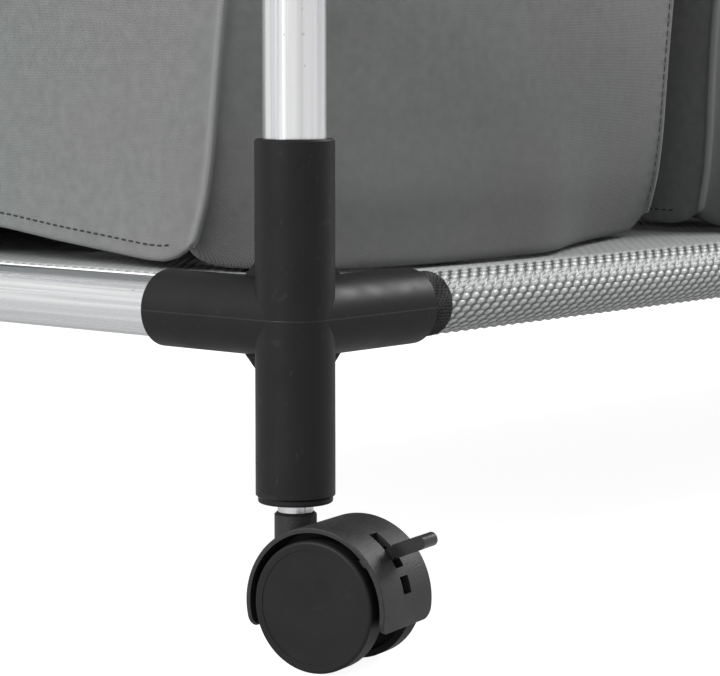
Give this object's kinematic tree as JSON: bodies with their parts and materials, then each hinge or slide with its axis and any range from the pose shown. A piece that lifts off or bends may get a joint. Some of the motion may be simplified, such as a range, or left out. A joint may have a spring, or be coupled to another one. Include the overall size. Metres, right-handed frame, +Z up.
{
  "type": "laundry sorter on wheels",
  "caption": "Rolling laundry sorter: a tube frame with a mesh shelf, hanging fabric bags and twin-wheel casters.",
  "frame": {"origin": "on the floor, under the centre of the whole object's box", "axes": "+X along the long side, -Y towards the front, +Z up"},
  "size_m": [0.8328, 0.4262, 0.8095],
  "materials": {
    "aluminium_tube": "brushed",
    "black_plastic": "satin",
    "wheel_plastic": "satin",
    "caster_plastic": "satin",
    "steel": "satin",
    "bag_fabric": "matte",
    "shelf_mesh": "satin",
    "binding_tape": "matte",
    "grip_foam": "matte",
    "board": "matte"
  },
  "bodies": {
    "frame": {"bottom_connector_front_left": "black_plastic", "top_connector_front_left": "black_plastic", "post_front_left": "aluminium_tube", "bottom_connector_front_right": "black_plastic", "top_connector_front_right": "black_plastic", "post_front_right": "aluminium_tube", "bottom_connector_rear_right": "black_plastic", "top_connector_rear_right": "black_plastic", "post_rear_right": "aluminium_tube", "bottom_connector_rear_left": "black_plastic", "top_connector_rear_left": "black_plastic", "post_rear_left": "aluminium_tube", "caster_plugs": "black_plastic", "caster_stems": "steel", "bottom_tube_front": "aluminium_tube", "bottom_tube_rear": "aluminium_tube", "bottom_tube_left": "aluminium_tube", "bottom_tube_right": "aluminium_tube", "top_rail_front": "aluminium_tube", "top_rail_rear": "aluminium_tube", "top_rail_left": "aluminium_tube", "top_rail_right": "aluminium_tube", "shelf_mesh": "shelf_mesh", "shelf_binding": "binding_tape"},
    "caster_front_left": {"caster_body_front_left": "caster_plastic", "axle_front_left": "steel"},
    "wheel_a_front_left": {"wheel_a_front_left": "wheel_plastic"},
    "wheel_b_front_left": {"wheel_b_front_left": "wheel_plastic"},
    "brake_front_left": {"brake_lever_front_left": "caster_plastic"},
    "caster_front_right": {"caster_body_front_right": "caster_plastic", "axle_front_right": "steel"},
    "wheel_a_front_right": {"wheel_a_front_right": "wheel_plastic"},
    "wheel_b_front_right": {"wheel_b_front_right": "wheel_plastic"},
    "caster_rear_right": {"caster_body_rear_right": "caster_plastic", "axle_rear_right": "steel"},
    "wheel_a_rear_right": {"wheel_a_rear_right": "wheel_plastic"},
    "wheel_b_rear_right": {"wheel_b_rear_right": "wheel_plastic"},
    "caster_rear_left": {"caster_body_rear_left": "caster_plastic", "axle_rear_left": "steel"},
    "wheel_a_rear_left": {"wheel_a_rear_left": "wheel_plastic"},
    "wheel_b_rear_left": {"wheel_b_rear_left": "wheel_plastic"},
    "brake_rear_left": {"brake_lever_rear_left": "caster_plastic"},
    "bag_left": {"bag_left": "bag_fabric", "bag_bars_left": "aluminium_tube", "bag_grips_left": "grip_foam", "bag_hooks_left": "black_plastic", "bag_base_board_left": "board"},
    "bag_middle": {"bag_middle": "bag_fabric", "bag_bars_middle": "aluminium_tube", "bag_grips_middle": "grip_foam", "bag_hooks_middle": "black_plastic", "bag_base_board_middle": "board"},
    "bag_right": {"bag_right": "bag_fabric", "bag_bars_right": "aluminium_tube", "bag_grips_right": "grip_foam", "bag_hooks_right": "black_plastic", "bag_base_board_right": "board"}
  },
  "joints": [
    {"name": "caster_swivel_front_left", "type": "hinge", "parent": "frame", "child": "caster_front_left", "pos_m": [-0.4, -0.167, 0.0448], "axis": [0, 0, 1], "continuous": true},
    {"name": "wheel_a_spin_front_left", "type": "hinge", "parent": "caster_front_left", "child": "wheel_a_front_left", "pos_m": [-0.3972, -0.18184, 0.0198], "axis": [0.9826, 0.1857, 0], "continuous": true},
    {"name": "wheel_b_spin_front_left", "type": "hinge", "parent": "caster_front_left", "child": "wheel_b_front_left", "pos_m": [-0.3972, -0.18184, 0.0198], "axis": [0.9826, 0.1857, 0], "continuous": true},
    {"name": "brake_press_front_left", "type": "hinge", "parent": "caster_front_left", "child": "brake_front_left", "pos_m": [-0.39489, -0.19403, 0.03311], "axis": [0.9826, 0.1857, 0], "range_deg": [0, 15]},
    {"name": "caster_swivel_front_right", "type": "hinge", "parent": "frame", "child": "caster_front_right", "pos_m": [0.4, -0.167, 0.0448], "axis": [0, 0, 1], "continuous": true},
    {"name": "wheel_a_spin_front_right", "type": "hinge", "parent": "caster_front_right", "child": "wheel_a_front_right", "pos_m": [0.3972, -0.18184, 0.0198], "axis": [0.9826, -0.1857, 0], "continuous": true},
    {"name": "wheel_b_spin_front_right", "type": "hinge", "parent": "caster_front_right", "child": "wheel_b_front_right", "pos_m": [0.3972, -0.18184, 0.0198], "axis": [0.9826, -0.1857, 0], "continuous": true},
    {"name": "caster_swivel_rear_right", "type": "hinge", "parent": "frame", "child": "caster_rear_right", "pos_m": [0.4, 0.167, 0.0448], "axis": [0, 0, 1], "continuous": true},
    {"name": "wheel_a_spin_rear_right", "type": "hinge", "parent": "caster_rear_right", "child": "wheel_a_rear_right", "pos_m": [0.3972, 0.15216, 0.0198], "axis": [0.9826, -0.1857, 0], "continuous": true},
    {"name": "wheel_b_spin_rear_right", "type": "hinge", "parent": "caster_rear_right", "child": "wheel_b_rear_right", "pos_m": [0.3972, 0.15216, 0.0198], "axis": [0.9826, -0.1857, 0], "continuous": true},
    {"name": "caster_swivel_rear_left", "type": "hinge", "parent": "frame", "child": "caster_rear_left", "pos_m": [-0.4, 0.167, 0.0448], "axis": [0, 0, 1], "continuous": true},
    {"name": "wheel_a_spin_rear_left", "type": "hinge", "parent": "caster_rear_left", "child": "wheel_a_rear_left", "pos_m": [-0.3972, 0.18184, 0.0198], "axis": [-0.9826, 0.1857, 0], "continuous": true},
    {"name": "wheel_b_spin_rear_left", "type": "hinge", "parent": "caster_rear_left", "child": "wheel_b_rear_left", "pos_m": [-0.3972, 0.18184, 0.0198], "axis": [-0.9826, 0.1857, 0], "continuous": true},
    {"name": "brake_press_rear_left", "type": "hinge", "parent": "caster_rear_left", "child": "brake_rear_left", "pos_m": [-0.39489, 0.19403, 0.03311], "axis": [-0.9826, 0.1857, 0], "range_deg": [0, 15]},
    {"name": "bag_lift_left", "type": "slide", "parent": "frame", "child": "bag_left", "axis": [0, 0, 1], "range_m": [0, 0.7]},
    {"name": "bag_lift_middle", "type": "slide", "parent": "frame", "child": "bag_middle", "axis": [0, 0, 1], "range_m": [0, 0.7]},
    {"name": "bag_lift_right", "type": "slide", "parent": "frame", "child": "bag_right", "axis": [0, 0, 1], "range_m": [0, 0.7]}
  ]
}
